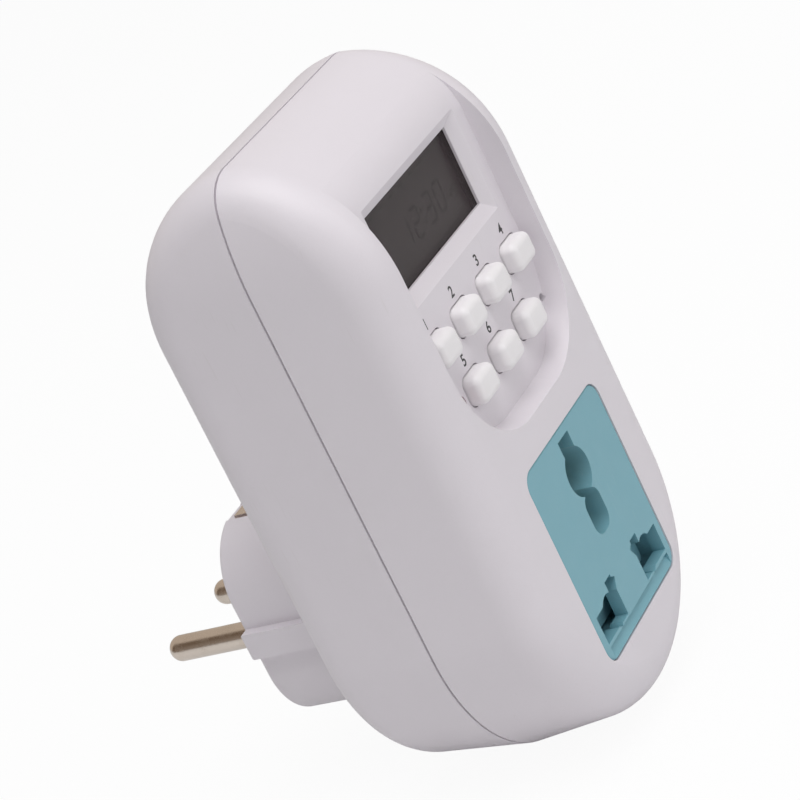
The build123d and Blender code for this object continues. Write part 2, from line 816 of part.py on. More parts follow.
led_tip_y = panel_y + led_recess
led_flange_front_y = panel_back_y + led_recess
led_flange_back_y = led_flange_front_y + led_flange_thickness
with BuildPart() as indicator_led:
    rod(*led_spot, led_tip_y, led_flange_front_y, led_radius)
    fillet(indicator_led.edges().sort_by(Axis.Y)[0], led_dome_round)
    rod(*led_spot, led_flange_front_y, led_flange_back_y, led_flange_radius)
    for side in (-1, 1):
        rod(led_spot[0] + side * led_radius / 2, led_spot[1], led_flange_back_y,
            control_front_y, lead_radius)
finish_part(indicator_led, "indicator_led")

reset_body_front_y = control_front_y - reset_body_height
with BuildPart() as reset_switch:
    block(around(reset_spot[0], reset_body), (reset_body_front_y, control_front_y),
          around(reset_spot[1], reset_body))
    rod(*reset_spot, reset_body_front_y, control_front_y - reset_body_height / 3,
        reset_stem_radius + core_clearance / 2, mode=Mode.SUBTRACT)
finish_part(reset_switch, "reset_switch")

with BuildPart() as reset_plunger:
    stem_back_y = control_front_y - reset_body_height / 3 - 2 * reset_travel
    rod(*reset_spot, reset_body_front_y - reset_stem_height, stem_back_y, reset_stem_radius)
finish_part(reset_plunger, "reset_plunger")

# ----------------------------------------------------------------------------------------
# Display stack and control board
# ----------------------------------------------------------------------------------------
glass_pocket_width = glass_width + 2 * glass_clearance
glass_pocket_height = glass_height + 2 * glass_clearance
holder_width = glass_pocket_width + 2 * holder_wall
holder_height = glass_pocket_height + 2 * holder_wall
with BuildPart() as display_holder:
    with BuildSketch(facing_user(control_front_y)):
        with Locations((0, window_z)):
            Rectangle(holder_width, holder_height)
            Rectangle(glass_pocket_width, glass_pocket_height, mode=Mode.SUBTRACT)
    extrude(amount=control_front_y - lens_back_y)
    with BuildSketch(facing_user(glass_front_y)):
        with Locations((0, window_z)):
            Rectangle(holder_width, holder_height)
            Rectangle(glass_width - 2 * holder_overlap, glass_height - 2 * holder_overlap,
                      mode=Mode.SUBTRACT)
    extrude(amount=holder_lip)
finish_part(display_holder, "display_holder")

with BuildPart() as display_glass:
    block(around(0, glass_width), (glass_front_y, glass_back_y), around(window_z, glass_height))
finish_part(display_glass, "display_glass")

with BuildPart() as connector_strip:
    strip_low_z = window_z - glass_height / 2
    block(around(0, glass_width - 2 * zebra_end), (glass_back_y, control_front_y),
          (strip_low_z, strip_low_z + zebra_height))
finish_part(connector_strip, "connector_strip")

link_xs = [link_spot[0] + (k - (link_count - 1) / 2) * link_pitch for k in range(link_count)]
link_hole = link_pin + 2 * link_clearance
with BuildPart() as control_board:
    board_mid_z = (control_board_bottom + control_board_top) / 2
    with BuildSketch(facing_user(control_back_y)):
        with Locations((0, board_mid_z)):
            Rectangle(case_width - 2 * control_board_side,
                      control_board_top - control_board_bottom)
        with Locations(*control_screw_spots):
            Circle(small_screw_radius + screw_bore_clearance, mode=Mode.SUBTRACT)
        with Locations(*[(x, link_spot[1]) for x in link_xs]):
            Rectangle(link_hole, link_hole, mode=Mode.SUBTRACT)
    extrude(amount=control_board_thickness)
finish_part(control_board, "control_board")

with BuildPart() as control_board_screws:
    for x, z in control_screw_spots:
        rod(x, z, control_back_y - small_screw_grip, control_back_y, small_screw_radius)
        rod(x, z, control_back_y, control_back_y + small_screw_head_height,
            small_screw_head_radius)
finish_part(control_board_screws, "control_board_screws")

with BuildPart() as timer_chip:
    rod(*chip_spot, control_back_y, control_back_y + chip_height, chip_radius)
    fillet(timer_chip.edges().sort_by(Axis.Y)[-1], chip_round)
finish_part(timer_chip, "timer_chip")

with BuildPart() as clock_crystal:
    x, z = crystal_spot
    with Locations((x, control_back_y + crystal_radius, z)):
        Cylinder(crystal_radius, crystal_length)
finish_part(clock_crystal, "clock_crystal")

cell_y = control_back_y + tab_thickness
with BuildPart() as backup_cell:
    rod(*cell_spot, cell_y, cell_y + cell_height, cell_radius)
    fillet(backup_cell.edges().filter_by(GeomType.CIRCLE).group_by(Axis.Y)[-1], cell_round)
finish_part(backup_cell, "backup_cell")

with BuildPart() as cell_tabs:
    x, z = cell_spot
    leg_z = z + cell_radius + tab_thickness
    top_y = cell_y + cell_height
    block(around(x, tab_width), (control_back_y, cell_y), (z - cell_radius, z + cell_radius / 2))
    block(around(x, tab_width), (top_y, top_y + tab_thickness), (z, leg_z + tab_thickness))
    block(around(x, tab_width), (control_back_y, top_y), (leg_z, leg_z + tab_thickness))
finish_part(cell_tabs, "cell_tabs")

# ----------------------------------------------------------------------------------------
# Power board and what stands on it
# ----------------------------------------------------------------------------------------
relay_x, relay_z = relay_spot
relay_base_y = power_front_y - relay_base_thickness
relay_front_y = power_front_y - relay_depth
terminal_x = relay_x + terminal_offset
no_terminal = around(relay_z, terminal_width)
nc_low = relay_z - relay_height / 2 + relay_cover_wall + terminal_clearance
nc_terminal = (nc_low, nc_low + terminal_width / 2)
tab_slot = bus_slot_clearance

with BuildPart() as power_board:
    board_mid_z = (power_board_bottom + power_board_top) / 2
    with BuildSketch(facing_user(power_back_y)):
        with Locations((0, board_mid_z)):
            Rectangle(case_width - 2 * power_board_side, power_board_top - power_board_bottom)
        with Locations(*power_screw_spots):
            Circle(small_screw_radius + screw_bore_clearance, mode=Mode.SUBTRACT)
        with Locations(*[(x, link_spot[1]) for x in link_xs]):
            Rectangle(link_hole, link_hole, mode=Mode.SUBTRACT)
        with Locations((-pin_x, live_tab_z), (-pin_x, switched_tab_z)):
            Rectangle(bus_width + 2 * tab_slot, strip_thickness + 2 * tab_slot,
                      mode=Mode.SUBTRACT)
        for low, high in (no_terminal, nc_terminal):
            with Locations((terminal_x, (low + high) / 2)):
                Rectangle(terminal_thickness + 2 * tab_slot, high - low + 2 * tab_slot,
                          mode=Mode.SUBTRACT)
    extrude(amount=power_board_thickness)
finish_part(power_board, "power_board")

with BuildPart() as power_board_screws:
    for x, z in power_screw_spots:
        rod(x, z, power_front_y, power_front_y + small_screw_grip, small_screw_radius)
        rod(x, z, power_front_y - small_screw_head_height, power_front_y,
            small_screw_head_radius)
finish_part(power_board_screws, "power_board_screws")

with BuildPart() as board_link_pins:
    for x in link_xs:
        block(around(x, link_pin), (control_front_y - link_end, power_back_y + link_end),
              around(link_spot[1], link_pin))
finish_part(board_link_pins, "board_link_pins")

with BuildPart() as board_link_spacers:
    spacer_width = link_count * link_pitch
    for y in ((control_back_y, control_back_y + link_spacer),
              (power_front_y - link_spacer, power_front_y)):
        block(around(link_spot[0], spacer_width), y, around(link_spot[1], link_pitch))
    for x in link_xs:
        block(around(x, link_pin), (control_back_y, power_front_y), around(link_spot[1], link_pin),
              mode=Mode.SUBTRACT)
finish_part(board_link_spacers, "board_link_spacers")

with BuildPart() as relay_base:
    block(around(relay_x, relay_width), (relay_base_y, power_front_y),
          around(relay_z, relay_height))
    for z in (no_terminal, nc_terminal):
        block(around(terminal_x, terminal_thickness), (relay_base_y, power_front_y), z,
              mode=Mode.SUBTRACT)
finish_part(relay_base, "relay_base")

with BuildPart() as relay_cover:
    block(around(relay_x, relay_width), (relay_front_y, relay_base_y),
          around(relay_z, relay_height))
    fillet(relay_cover.faces().sort_by(Axis.Y)[0].edges(), relay_cover_wall * 0.6)
    block(around(relay_x, relay_width - 2 * relay_cover_wall),
          (relay_front_y + relay_cover_wall, relay_base_y),
          around(relay_z, relay_height - 2 * relay_cover_wall), mode=Mode.SUBTRACT)
finish_part(relay_cover, "relay_cover")

coil_x = relay_x + coil_offset
foot_y = relay_base_y - yoke_thickness
coil_end_y = foot_y - coil_length
pole_y = coil_end_y - pole_height
leg_x = coil_x - coil_flange_radius - yoke_gap - yoke_thickness
with BuildPart() as relay_coil:
    rod(coil_x, relay_z, coil_end_y, foot_y, coil_radius)
    rod(coil_x, relay_z, coil_end_y, coil_end_y + coil_flange, coil_flange_radius)
    rod(coil_x, relay_z, foot_y - coil_flange, foot_y, coil_flange_radius)
    rod(coil_x, relay_z, coil_end_y, foot_y, core_radius + core_clearance, mode=Mode.SUBTRACT)
finish_part(relay_coil, "relay_coil")

with BuildPart() as relay_yoke:
    block((leg_x, leg_x + yoke_thickness), (pole_y, relay_base_y), around(relay_z, yoke_width))
    block((leg_x, coil_x + core_radius), (foot_y, relay_base_y), around(relay_z, yoke_width))
    rod(coil_x, relay_z, pole_y, foot_y, core_radius)
finish_part(relay_yoke, "relay_yoke")

hinge_x = leg_x
hinge_y = pole_y - armature_gap
armature_front_y = hinge_y - armature_thickness
contact_x = relay_x + contact_offset
with BuildPart() as relay_armature:
    block((leg_x, coil_x + core_radius + armature_overhang), (armature_front_y, hinge_y),
          around(relay_z, yoke_width))
finish_part(relay_armature, "relay_armature")

blade_front_y = armature_front_y - blade_thickness
blade_contact_y = armature_front_y + contact_height
with BuildPart() as relay_contact_blade:
    block((leg_x + blade_setback, contact_x + contact_radius), (blade_front_y, armature_front_y),
          around(relay_z, blade_width))
    rod(contact_x, relay_z, armature_front_y, blade_contact_y, contact_radius)
finish_part(relay_contact_blade, "relay_contact_blade")

# The fixed contact stops just short of where the blade's contact comes down to.
blade_drop = (contact_x + contact_radius - hinge_x) * tan(radians(armature_angle))
no_contact_y = blade_contact_y + blade_drop + contact_air
nc_plate_y = blade_front_y - contact_air
terminal_end_y = power_back_y + terminal_end
with BuildPart() as relay_fixed_contacts:
    terminal = around(terminal_x, terminal_thickness)
    reach = (contact_x - contact_radius, terminal[1])
    plate_y = no_contact_y + contact_height / 2
    block(terminal, (plate_y, terminal_end_y), no_terminal)
    block(reach, (plate_y, plate_y + terminal_thickness), no_terminal)
    rod(contact_x, relay_z, no_contact_y, plate_y, contact_radius)
    block(terminal, (nc_plate_y - terminal_thickness, terminal_end_y), nc_terminal)
    block(reach, (nc_plate_y - terminal_thickness, nc_plate_y), (nc_terminal[0], relay_z))
finish_part(relay_fixed_contacts, "relay_fixed_contacts")

with BuildPart() as dropper_capacitor:
    x, z = dropper_spot
    width, height, depth = dropper_size
    block(around(x, width), (power_front_y - depth, power_front_y), around(z, height))
    fillet(dropper_capacitor.edges().filter_by(Axis.Y), dropper_round)
    fillet(dropper_capacitor.faces().sort_by(Axis.Y)[0].edges(), dropper_round / 2)
finish_part(dropper_capacitor, "dropper_capacitor")

with BuildPart() as filter_capacitor:
    rod(*filter_spot, power_front_y - filter_depth, power_front_y, filter_radius)
    fillet(filter_capacitor.edges().filter_by(GeomType.CIRCLE), filter_round)
finish_part(filter_capacitor, "filter_capacitor")

with BuildPart() as surge_varistor:
    x, z = varistor_spot
    disc_y = power_front_y - lead_length - varistor_radius
    with Locations(Location((x, disc_y, z), (0, 90, 0))):
        Cylinder(varistor_radius, varistor_thickness)
    fillet(surge_varistor.edges().filter_by(GeomType.CIRCLE), varistor_round)
    for side in (-1, 1):
        rod(x, z + side * varistor_radius / 2, disc_y + varistor_radius / 2, power_front_y,
            lead_radius)
finish_part(surge_varistor, "surge_varistor")


def axial_parts(spot, pitch, count, radius, length):
    """A row of axial parts lying on the power board, each on its two bent leads."""
    x, z_start = spot
    body_y = power_front_y - radius - lead_length / 2
    lead = 2 * lead_radius
    for k in range(count):
        z = z_start + k * pitch
        with Locations(Location((x, body_y, z), (0, 90, 0))):
            Cylinder(radius, length)
        block(around(x, length + 3 * lead), around(body_y, lead), around(z, lead))
        for side in (-1, 1):
            block(around(x + side * (length / 2 + lead), lead), (body_y, power_front_y),
                  around(z, lead))


with BuildPart() as power_resistors:
    axial_parts(resistor_spot, resistor_pitch, resistor_count, resistor_radius, resistor_length)
finish_part(power_resistors, "power_resistors")

with BuildPart() as rectifier_diodes:
    axial_parts(diode_spot, diode_pitch, diode_count, diode_radius, diode_length)
finish_part(rectifier_diodes, "rectifier_diodes")

# ----------------------------------------------------------------------------------------
# Outlet: insert, shutter, contact carrier and contacts
# ----------------------------------------------------------------------------------------
with BuildPart() as socket_insert:
    with BuildSketch(facing_user(insert_back_y)):
        add(insert_outline(0))
    extrude(amount=insert_thickness)
    fillet(socket_insert.faces().sort_by(Axis.Y)[0].edges(), insert_edge_round)
    with BuildSketch(facing_user(front_inner_y + insert_flange_thickness)):
        add(insert_outline(insert_flange))
    extrude(amount=insert_flange_thickness)
    with BuildSketch(facing_user(skirt_end_y)):
        add(insert_outline(0))
    extrude(amount=skirt_end_y - insert_back_y)
    with BuildSketch(facing_user(skirt_end_y)):
        add(insert_outline(-skirt_wall))
    extrude(amount=skirt_end_y - insert_back_y, mode=Mode.SUBTRACT)
    # Collar that carries the walls of the earth hole back to the contacts.
    collar_end_y = insert_back_y + earth_collar_length
    with BuildSketch(facing_user(collar_end_y)):
        add(earth_hole_outline(earth_collar_wall))
    extrude(amount=earth_collar_length)
    with BuildSketch(facing_user(collar_end_y)):
        add(earth_hole_outline(0))
    extrude(amount=earth_collar_length + insert_thickness, mode=Mode.SUBTRACT)
    # Holes on each side for the live and the neutral pin.
    with BuildSketch(facing_user(insert_back_y)):
        for side in (-1, 1):
            width, height, x, z = flat_slot
            with Locations((side * x, z)):
                Rectangle(width, height)
            width, height, x, z = angled_slot
            with Locations(Location((side * x, z), side * angled_slot_tilt)):
                Rectangle(width, height)
            radius, x, z = round_hole
            with Locations((side * x, z)):
                Circle(radius)
            width, height, x, z = wide_slot
            with Locations((side * x, z)):
                Rectangle(width, height)
    extrude(amount=insert_thickness, mode=Mode.SUBTRACT)
    # Sloped strip along the lower edge, deepest just under the holes.
    with BuildSketch(Plane.YZ.offset(-ramp_width / 2)):
        with BuildLine():
            Polyline((insert_y, ramp_start_z), (insert_y + ramp_depth, ramp_start_z),
                     (insert_y, ramp_end_z), close=True)
        make_face()
    extrude(amount=ramp_width, mode=Mode.SUBTRACT)
finish_part(socket_insert, "socket_insert")

shutter_low_z = insert_low_z + skirt_wall + shutter_low_clearance
with BuildPart() as socket_shutter:
    shutter_y = (shutter_front_y, shutter_back_y)
    for side in (-1, 1):
        wing = sorted((side * shutter_inner_x, side * shutter_outer_x))
        block(wing, shutter_y, (shutter_low_z, shutter_top_z))
    block((-shutter_inner_x, shutter_inner_x), shutter_y, (shutter_low_z, shutter_bridge_top_z))
    low_corners = socket_shutter.edges().filter_by(Axis.Y).group_by(Axis.Z)[0]
    fillet(low_corners, insert_corner - skirt_wall + shutter_low_clearance)
    # Ramps that the pins ride on to lift the shutter.
    ramp_edges = socket_shutter.faces().sort_by(Axis.Y)[0].edges().filter_by(Axis.X)
    chamfer(ramp_edges.group_by(Axis.Z)[0], shutter_ramp)
finish_part(socket_shutter, "socket_shutter")

spring_y = (shutter_front_y + shutter_back_y) / 2
spring_length = spring_stop_z - shutter_top_z - 2 * (spring_end_gap + spring_wire_radius)
with BuildPart() as shutter_springs:
    for side in (-1, 1):
        start = (side * spring_x, spring_y, shutter_top_z + spring_end_gap + spring_wire_radius)
        with BuildLine() as coil:
            Helix(spring_length / spring_turns, spring_length, spring_radius, center=start)
        with BuildSketch(Plane(coil.line @ 0, z_dir=coil.line % 0)):
            Circle(spring_wire_radius)
        sweep(path=coil.line, is_frenet=True)
finish_part(shutter_springs, "shutter_springs")

carrier_x = insert_width / 2 - skirt_wall - carrier_clearance
carrier_low_z = insert_low_z + skirt_wall + carrier_clearance
carrier_high_z = insert_high_z - skirt_wall - carrier_clearance
flange_y = (skirt_end_y, skirt_end_y + carrier_flange_thickness)
pockets = [(live_pocket[:2], live_pocket[2:])]
pockets += [((-live_pocket[1], -live_pocket[0]), live_pocket[2:])]
pockets += [(earth_pocket[:2], earth_pocket[2:])]
with BuildPart() as contact_carrier:
    block((-carrier_x, carrier_x), (carrier_front_y, carrier_back_y),
          (carrier_low_z, carrier_high_z))
    fillet(contact_carrier.edges().filter_by(Axis.Y), insert_corner - skirt_wall)
    with BuildSketch(facing_user(flange_y[1])):
        add(insert_outline(0))
    extrude(amount=carrier_flange_thickness)
    block((-carrier_ear_x, carrier_ear_x), flange_y,
          around(carrier_ear[1], 2 * carrier_ear_radius))
    for x, z in carrier_ear_spots:
        rod(x, z, *flange_y, carrier_ear_radius)
    for x, z in carrier_ear_spots:
        rod(x, z, *flange_y, small_screw_radius + screw_bore_clearance / 2, mode=Mode.SUBTRACT)
    # Stops that the shutter springs push against.
    for side in (-1, 1):
        block(around(side * spring_x, spring_stop[0]), (shutter_front_y, carrier_front_y),
              (spring_stop_z, spring_stop_z + spring_stop[1]))
    for x, z in pockets:
        block(x, (carrier_front_y, carrier_back_y), z, mode=Mode.SUBTRACT)
finish_part(contact_carrier, "contact_carrier")

with BuildPart() as carrier_screws:
    for x, z in carrier_ear_spots:
        rod(x, z, flange_y[1] - small_screw_grip, flange_y[1], small_screw_radius)
        rod(x, z, flange_y[1], flange_y[1] + small_screw_head_height, small_screw_head_radius)
finish_part(carrier_screws, "carrier_screws")

contact_front_y = carrier_front_y + contact_mouth
contact_length = carrier_back_y - contact_front_y


def clip_outline(opening, pinch):
    """Side view of a clip in its own frame: local x runs forward from the rear plate."""
    wide = opening / 2
    narrow = pinch / 2
    knee = contact_length * 0.7
    with BuildSketch() as outline:
        with BuildLine():
            Polyline((contact_length, wide), (knee, narrow), (0, wide), (0, -wide),
                     (knee, -narrow), (contact_length, -wide))
            offset(amount=contact_thickness, side=Side.LEFT)
        make_face()
    return outline.sketch


def side_contact(side):
    """Live or neutral contact: two leaves above and below the pin and a rear plate."""
    x_low, x_high, z_low, z_high = live_pocket
    middle_z = (z_low + z_high) / 2
    leaf_low = x_low + contact_margin
    leaf_width = x_high - x_low - 2 * contact_margin
    origin_x = leaf_low if side > 0 else -leaf_low - leaf_width
    with BuildPart() as contact:
        plane = Plane(origin=(origin_x, carrier_back_y, middle_z), x_dir=(0, -1, 0),
                      z_dir=(1, 0, 0))
        with BuildSketch(plane):
            add(clip_outline(contact_open, contact_pinch))
        extrude(amount=leaf_width)
        rear = sorted((side * (x_low - contact_lug), side * (x_high + contact_lug)))
        block(rear, (carrier_back_y, carrier_back_y + contact_thickness),
              (z_low - contact_lug, z_high + contact_lug))
    return contact


live_contact = side_contact(-1)
neutral_contact = side_contact(1)
finish_part(live_contact, "live_contact")
finish_part(neutral_contact, "neutral_contact")

with BuildPart() as earth_contact:
    x_low, x_high, z_low, z_high = earth_pocket
    leaf_low_z = z_low + contact_margin
    plane = Plane(origin=(0, carrier_back_y, leaf_low_z), x_dir=(0, -1, 0), z_dir=(0, 0, 1))
    with BuildSketch(plane):
        add(clip_outline(earth_contact_open, earth_contact_pinch))
    extrude(amount=z_high - z_low - 2 * contact_margin)
    block((x_low - contact_lug, x_high + contact_lug),
          (carrier_back_y, carrier_back_y + contact_thickness),
          (z_low - contact_lug, z_high + contact_lug))
finish_part(earth_contact, "earth_contact")

# ----------------------------------------------------------------------------------------
# Busbars from the plug to the power board and the contacts
# ----------------------------------------------------------------------------------------
contact_plate_y = carrier_back_y + contact_thickness
tab_y = (contact_plate_y, contact_plate_y + strip_thickness)
pin_plate_y = (pin_root_y - strip_thickness, pin_root_y)
live_mid_z = (live_pocket[2] + live_pocket[3]) / 2
half_bus = bus_width / 2
left_bus_x = around(-pin_x, bus_width)
right_bus_x = around(pin_x, bus_width)
neutral_run = around(neutral_run_z, strip_thickness)
live_run = around(live_run_z, strip_thickness)
earth_run = around(earth_run_z, strip_thickness)

with BuildPart() as neutral_busbar:
    block(right_bus_x, tab_y, (live_mid_z - half_bus, neutral_run[1]))
    block(right_bus_x, (tab_y[0], pin_root_y), neutral_run)
    block(right_bus_x, pin_plate_y, (neutral_run[0], half_bus))
    rod(pin_x, 0, *pin_plate_y, pin_tail_radius, mode=Mode.SUBTRACT)
finish_part(neutral_busbar, "neutral_busbar")

riser_y = around(back_inner_y - live_rise, strip_thickness)
live_tab = around(live_tab_z, strip_thickness)
with BuildPart() as live_busbar:
    block(left_bus_x, pin_plate_y, (-half_bus, live_run[1]))
    block(left_bus_x, (riser_y[0], pin_root_y), live_run)
    block(left_bus_x, riser_y, (live_run[0], live_tab[1]))
    block(left_bus_x, (power_front_y - terminal_end, riser_y[1]), live_tab)
    rod(-pin_x, 0, *pin_plate_y, pin_tail_radius, mode=Mode.SUBTRACT)
finish_part(live_busbar, "live_busbar")

switched_y = around(power_front_y - switched_rise, strip_thickness)
switched_tab = around(switched_tab_z, strip_thickness)
with BuildPart() as switched_busbar:
    block(left_bus_x, tab_y, (live_mid_z - half_bus, neutral_run[1]))
    block(left_bus_x, (tab_y[0], switched_y[1]), neutral_run)
    block(left_bus_x, switched_y, (neutral_run[0], switched_tab[1]))
    block(left_bus_x, (switched_y[0], power_back_y + terminal_end), switched_tab)
finish_part(switched_busbar, "switched_busbar")

with BuildPart() as earth_strap:
    strap_x = around(0, earth_strip_width)
    earth_mid_z = (earth_pocket[2] + earth_pocket[3]) / 2
    block(strap_x, tab_y, (earth_mid_z - half_bus, earth_run[1]))
    block(strap_x, (tab_y[0], bridge_y - strip_thickness), earth_run)
finish_part(earth_strap, "earth_strap")

# ----------------------------------------------------------------------------------------
# Write every piece
# ----------------------------------------------------------------------------------------
os.makedirs("parts", exist_ok=True)
for piece in finished:
    export_step(piece, f"parts/{piece.label}.step")
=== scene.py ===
"""Looks of the plug-in timer switch: finishes, display, key numbers, board detail and studio.

Metres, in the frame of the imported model: the origin is the middle of the plug face, +Y goes
into the wall, +Z is up and -Y faces the user.
"""
import bpy
import bmesh
import json
import math
from mathutils import Matrix, Vector


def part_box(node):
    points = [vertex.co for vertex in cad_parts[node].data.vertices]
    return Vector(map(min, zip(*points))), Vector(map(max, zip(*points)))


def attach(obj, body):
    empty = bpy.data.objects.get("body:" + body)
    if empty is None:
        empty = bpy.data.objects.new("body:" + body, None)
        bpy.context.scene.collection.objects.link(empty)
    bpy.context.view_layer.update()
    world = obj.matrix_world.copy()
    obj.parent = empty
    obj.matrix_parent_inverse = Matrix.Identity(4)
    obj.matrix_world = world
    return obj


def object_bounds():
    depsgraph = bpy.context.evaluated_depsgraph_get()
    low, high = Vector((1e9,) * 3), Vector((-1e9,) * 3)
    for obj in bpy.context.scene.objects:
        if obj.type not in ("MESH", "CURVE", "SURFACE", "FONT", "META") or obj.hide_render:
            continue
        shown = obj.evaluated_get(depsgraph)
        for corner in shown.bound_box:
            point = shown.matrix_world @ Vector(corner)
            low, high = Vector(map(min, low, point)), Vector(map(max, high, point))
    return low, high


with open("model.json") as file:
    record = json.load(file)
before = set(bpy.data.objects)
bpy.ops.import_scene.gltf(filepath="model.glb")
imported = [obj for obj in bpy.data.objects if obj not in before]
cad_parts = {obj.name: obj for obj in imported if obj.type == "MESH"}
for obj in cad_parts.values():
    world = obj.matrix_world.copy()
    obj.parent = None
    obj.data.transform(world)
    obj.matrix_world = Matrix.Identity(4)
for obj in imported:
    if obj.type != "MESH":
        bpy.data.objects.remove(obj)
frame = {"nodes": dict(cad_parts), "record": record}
cad_box = [list(corner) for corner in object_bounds()]

MM = 0.001


# ------------------------------------------------------------------ node tools
class Nodes:
    """Short way of adding nodes to one tree and wiring them up."""

    def __init__(self, tree):
        self.tree = tree

    def feed(self, value, socket):
        """Wire a socket to another one, or set it to a plain value."""
        if isinstance(value, bpy.types.NodeSocket):
            self.tree.links.new(value, socket)
        else:
            socket.default_value = value

    def add(self, kind, values=None, **settings):
        node = self.tree.nodes.new(kind)
        for name, value in settings.items():
            setattr(node, name, value)
        for name, value in (values or {}).items():
            self.feed(value, node.inputs[name])
        return node

    def group(self, tree, values):
        return self.add("ShaderNodeGroup", values, node_tree=tree).outputs

    def place(self):
        """Position in the object's own coordinates, in metres."""
        return self.add("ShaderNodeTexCoord").outputs["Object"]

    def math(self, operation, first, second=0.0, clamp=False):
        return self.add("ShaderNodeMath", {0: first, 1: second}, operation=operation,
                        use_clamp=clamp).outputs[0]

    def noise(self, vector, scale, detail=2.0, roughness=0.5):
        return self.add("ShaderNodeTexNoise", {"Vector": vector, "Scale": scale, "Detail": detail,
                                               "Roughness": roughness}).outputs["Fac"]

    def spread(self, value, low, high, to_low=0.0, to_high=1.0):
        return self.add("ShaderNodeMapRange", {"Value": value, "From Min": low, "From Max": high,
                                               "To Min": to_low, "To Max": to_high}).outputs[0]

    def blend(self, factor, first, second, mode="MIX"):
        node = self.add("ShaderNodeMix", data_type="RGBA", blend_type=mode)
        # A colour mix has its factor, two colours and result at these places in its sockets.
        for index, value in ((0, factor), (6, first), (7, second)):
            self.feed(value, node.inputs[index])
        return node.outputs[2]


def rgba(colour):
    return (*colour, 1.0)


PLAIN_WHITE = rgba((1.0, 1.0, 1.0))
PER_METRE = 1000.0          # pattern cells per metre at a cell size of 1 mm
SOCKETS = {float: "NodeSocketFloat", tuple: "NodeSocketColor"}


def effect(name, inputs, outputs):
    """Empty shader group with named inputs {name: default} and outputs {name: default}."""
    tree = bpy.data.node_groups.new(name, "ShaderNodeTree")
    for sockets, side in ((inputs, "INPUT"), (outputs, "OUTPUT")):
        for label, default in sockets.items():
            socket = tree.interface.new_socket(name=label, in_out=side,
                                               socket_type=SOCKETS[type(default)])
            socket.default_value = default
    nodes = Nodes(tree)
    way_in = nodes.add("NodeGroupInput").outputs
    way_out = nodes.add("NodeGroupOutput").inputs
    return nodes, way_in, way_out


# Pattern cells per metre.
FLOW_SCALE = 42.0
SHEEN_SCALE = 190.0
SMEAR_SCALE = 70.0
HAIRLINE_SCALE = 2600.0
HAIRLINE_PATCH_SCALE = 55.0
PLATING_CLOUD_SCALE = 320.0
LAMINATE_TRACK_SCALE = 240.0
LAMINATE_WEAVE_SCALE = 2400.0
WIRE_TURN_SCALE = 560.0
DISPLAY_CLOUD_SCALE = 90.0
DISPLAY_FILM_SCALE = 3000.0
DUST_SCALE = 2300.0
PAPER_SCALE = 40.0


def make_mould_grain():
    """Moulded plastic: fine spark-eroded grain, broad flow marks and a slight sheen change."""
    nodes, way_in, way_out = effect(
        "mould_grain",
        {"Colour": rgba((0.8, 0.8, 0.8)), "Grain Size mm": 0.3, "Flow": 0.03,
         "Roughness": 0.4, "Roughness Spread": 0.08},
        {"Colour": rgba((0.8, 0.8, 0.8)), "Roughness": 0.4, "Height": 0.5})
    place = nodes.place()
    density = nodes.math("DIVIDE", PER_METRE, way_in["Grain Size mm"])
    grain = nodes.noise(place, density, detail=3.0, roughness=0.6)
    flow = nodes.noise(place, FLOW_SCALE, detail=3.0, roughness=0.55)
    streak = nodes.noise(place, SHEEN_SCALE, detail=2.0)
    shade = nodes.math("MULTIPLY", nodes.spread(flow, 0.3, 0.7), way_in["Flow"])
    shade = nodes.math("ADD", shade, nodes.math(
        "MULTIPLY", nodes.spread(grain, 0.35, 0.65), nodes.math("MULTIPLY", way_in["Flow"], 0.5)))
    darker = nodes.blend(1.0, way_in["Colour"], rgba((0.55, 0.53, 0.52)), "MULTIPLY")
    nodes.feed(nodes.blend(shade, way_in["Colour"], darker), way_out["Colour"])
    swing = nodes.math("MULTIPLY", nodes.spread(streak, 0.3, 0.7, -0.5, 0.5),
                       way_in["Roughness Spread"])
    nodes.feed(nodes.math("ADD", way_in["Roughness"], swing, clamp=True), way_out["Roughness"])
    nodes.feed(grain, way_out["Height"])
    return nodes.tree


def make_handling():
    """Faint finger smears and hairline rubs that change only colour and gloss a little."""
    nodes, way_in, way_out = effect(
        "handling_marks",
        {"Colour": rgba((0.8, 0.8, 0.8)), "Roughness": 0.4, "Amount": 0.3,
         "Mark Colour": rgba((0.5, 0.47, 0.43))},
        {"Colour": rgba((0.8, 0.8, 0.8)), "Roughness": 0.4})
    place = nodes.place()
    smear = nodes.spread(nodes.noise(place, SMEAR_SCALE, detail=4.0, roughness=0.6), 0.55, 0.8)
    stretched = nodes.add("ShaderNodeMapping", {"Vector": place, "Rotation": (0.3, 0.2, 0.6),
                                                "Scale": (1.0, 1.0, 0.06)}).outputs[0]
    hairs = nodes.spread(nodes.noise(stretched, HAIRLINE_SCALE, detail=1.0), 0.68, 0.74)
    patch = nodes.spread(nodes.noise(place, HAIRLINE_PATCH_SCALE), 0.5, 0.62)
    hairs = nodes.math("MULTIPLY", hairs, patch)
    marks = nodes.math("MULTIPLY", nodes.math("MAXIMUM", nodes.math("MULTIPLY", smear, 0.4),
                                              hairs), way_in["Amount"], clamp=True)
    nodes.feed(nodes.blend(nodes.math("MULTIPLY", marks, 0.35), way_in["Colour"],
                           way_in["Mark Colour"]), way_out["Colour"])
    lift = nodes.math("MULTIPLY", marks, 0.22)
    nodes.feed(nodes.math("ADD", way_in["Roughness"], lift, clamp=True), way_out["Roughness"])
    return nodes.tree


